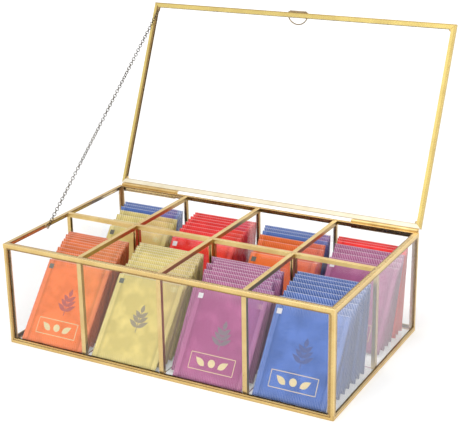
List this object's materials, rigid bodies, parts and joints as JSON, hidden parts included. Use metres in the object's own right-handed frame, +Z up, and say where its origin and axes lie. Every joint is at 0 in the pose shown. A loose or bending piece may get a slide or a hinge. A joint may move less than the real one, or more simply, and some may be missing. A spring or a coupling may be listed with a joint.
{
  "type": "glass tea chest with hinged lid",
  "caption": "Brass-framed glass tea chest with divided compartments, a hinged glass lid held open by a chain, a ring pull and stacks of tea sachets.",
  "frame": {"origin": "centre of the box's flat underside, on the surface that it stands on", "axes": "+X to the right along the box's length, +Y to the back where the lid is hinged, +Z up"},
  "size_m": [0.32, 0.2733, 0.2707],
  "materials": {
    "brass_strip": "lightly polished brass with darkened folds and soldered corners",
    "brass_hinge": "satin brass",
    "brass_wire": "dull drawn brass wire",
    "brass_chain": "aged brass wire links",
    "glass": "clear, polished",
    "sachet_orange": "satin foil-lined paper with crimped edges",
    "sachet_yellow": "satin foil-lined paper with crimped edges",
    "sachet_purple": "satin foil-lined paper with crimped edges",
    "sachet_blue": "satin foil-lined paper with crimped edges",
    "sachet_red": "satin foil-lined paper with crimped edges"
  },
  "bodies": {
    "box": {"bottom_frame": "brass_strip", "corner_post_front_left": "brass_strip", "corner_post_front_right": "brass_strip", "corner_post_back_right": "brass_strip", "corner_post_back_left": "brass_strip", "top_rail_front": "brass_strip", "top_rail_right": "brass_strip", "top_rail_back": "brass_strip", "top_rail_left": "brass_strip", "corner_liners": "brass_strip", "floor_pane": "glass", "front_pane": "glass", "back_pane": "glass", "left_pane": "glass", "right_pane": "glass", "long_divider_pane": "glass", "long_divider_cap": "brass_strip", "long_divider_post_left": "brass_strip", "long_divider_post_right": "brass_strip", "divider_pane_front_1": "glass", "divider_pane_back_1": "glass", "divider_pane_front_2": "glass", "divider_pane_back_2": "glass", "divider_pane_front_3": "glass", "divider_pane_back_3": "glass", "divider_caps_1": "brass_strip", "divider_caps_2": "brass_strip", "divider_caps_3": "brass_strip", "wall_post_front_1": "brass_strip", "wall_post_back_1": "brass_strip", "wall_post_front_2": "brass_strip", "wall_post_back_2": "brass_strip", "wall_post_front_3": "brass_strip", "wall_post_back_3": "brass_strip", "crossing_posts": "brass_strip", "hinge_base_leaves": "brass_hinge", "hinge_pins": "brass_hinge", "chain_eye_base": "brass_wire"},
    "lid": {"lid_rail_front": "brass_strip", "lid_rail_right": "brass_strip", "lid_rail_back": "brass_strip", "lid_rail_left": "brass_strip", "lid_pane": "glass", "hinge_lid_leaves": "brass_hinge", "pull_tube": "brass_wire", "chain_eye_lid": "brass_wire"},
    "pull": {"pull_ring": "brass_wire"},
    "chain_lower": {"chain_base_run": "brass_chain"},
    "chain_lower_end": {"chain_base_tail": "brass_chain"},
    "chain_upper": {"chain_lid_run": "brass_chain"},
    "chain_upper_end": {"chain_lid_tail": "brass_chain"},
    "stack_front_1": {"sachets_front_1": "sachet_orange"},
    "stack_front_2": {"sachets_front_2": "sachet_yellow"},
    "stack_front_3": {"sachets_front_3": "sachet_purple"},
    "stack_front_4": {"sachets_front_4": "sachet_blue"},
    "stack_back_1": {"sachets_back_1": "sachet_yellow"},
    "stack_back_2": {"sachets_back_2": "sachet_red"},
    "stack_back_3": {"sachets_back_3": "sachet_orange"},
    "stack_back_4": {"sachets_back_4": "sachet_purple"}
  },
  "joints": [
    {"name": "lid_hinge", "type": "hinge", "parent": "box", "child": "lid", "pos_m": [0, 0.096, 0.0962], "axis": [-1, 0, 0], "range_deg": [-114, 0], "deforming": ["chain_base_run", "chain_base_tail", "chain_lid_run", "chain_lid_tail"]},
    {"name": "pull_swing", "type": "hinge", "parent": "lid", "child": "pull", "pos_m": [0, 0.17787, 0.26926], "axis": [1, 0, 0], "range_deg": [-12, 246]},
    {"name": "chain_lower_swing", "type": "hinge", "parent": "box", "child": "chain_lower", "pos_m": [-0.1531, -0.03655, 0.09457], "axis": [1, 0, 0], "range_deg": [-127.57, 0.01]},
    {"name": "chain_lower_fold", "type": "hinge", "parent": "chain_lower", "child": "chain_lower_end", "pos_m": [-0.1531, 0.0266, 0.14637], "axis": [1, 0, 0], "range_deg": [-0.01, 75.24]},
    {"name": "chain_upper_swing", "type": "hinge", "parent": "lid", "child": "chain_upper", "pos_m": [-0.1531, 0.16921, 0.26336], "axis": [1, 0, 0], "range_deg": [-61.87, 0.01]},
    {"name": "chain_upper_fold", "type": "hinge", "parent": "chain_upper", "child": "chain_upper_end", "pos_m": [-0.1531, 0.10155, 0.20785], "axis": [1, 0, 0], "range_deg": [-0.01, 88.46]},
    {"name": "lift_front_1", "type": "slide", "parent": "box", "child": "stack_front_1", "axis": [0, 0, 1], "range_m": [0, 0.1]},
    {"name": "lift_front_2", "type": "slide", "parent": "box", "child": "stack_front_2", "axis": [0, 0, 1], "range_m": [0, 0.1]},
    {"name": "lift_front_3", "type": "slide", "parent": "box", "child": "stack_front_3", "axis": [0, 0, 1], "range_m": [0, 0.1]},
    {"name": "lift_front_4", "type": "slide", "parent": "box", "child": "stack_front_4", "axis": [0, 0, 1], "range_m": [0, 0.1]},
    {"name": "lift_back_1", "type": "slide", "parent": "box", "child": "stack_back_1", "axis": [0, 0, 1], "range_m": [0, 0.1]},
    {"name": "lift_back_2", "type": "slide", "parent": "box", "child": "stack_back_2", "axis": [0, 0, 1], "range_m": [0, 0.1]},
    {"name": "lift_back_3", "type": "slide", "parent": "box", "child": "stack_back_3", "axis": [0, 0, 1], "range_m": [0, 0.1]},
    {"name": "lift_back_4", "type": "slide", "parent": "box", "child": "stack_back_4", "axis": [0, 0, 1], "range_m": [0, 0.1]}
  ],
  "couplings": [
    {"joint": "chain_lower_swing", "follows": "lid_hinge", "ratio": 1.119},
    {"joint": "chain_lower_fold", "follows": "lid_hinge", "ratio": -0.65992},
    {"joint": "chain_upper_swing", "follows": "lid_hinge", "ratio": 0.54266},
    {"joint": "chain_upper_fold", "follows": "lid_hinge", "ratio": -0.77587}
  ]
}
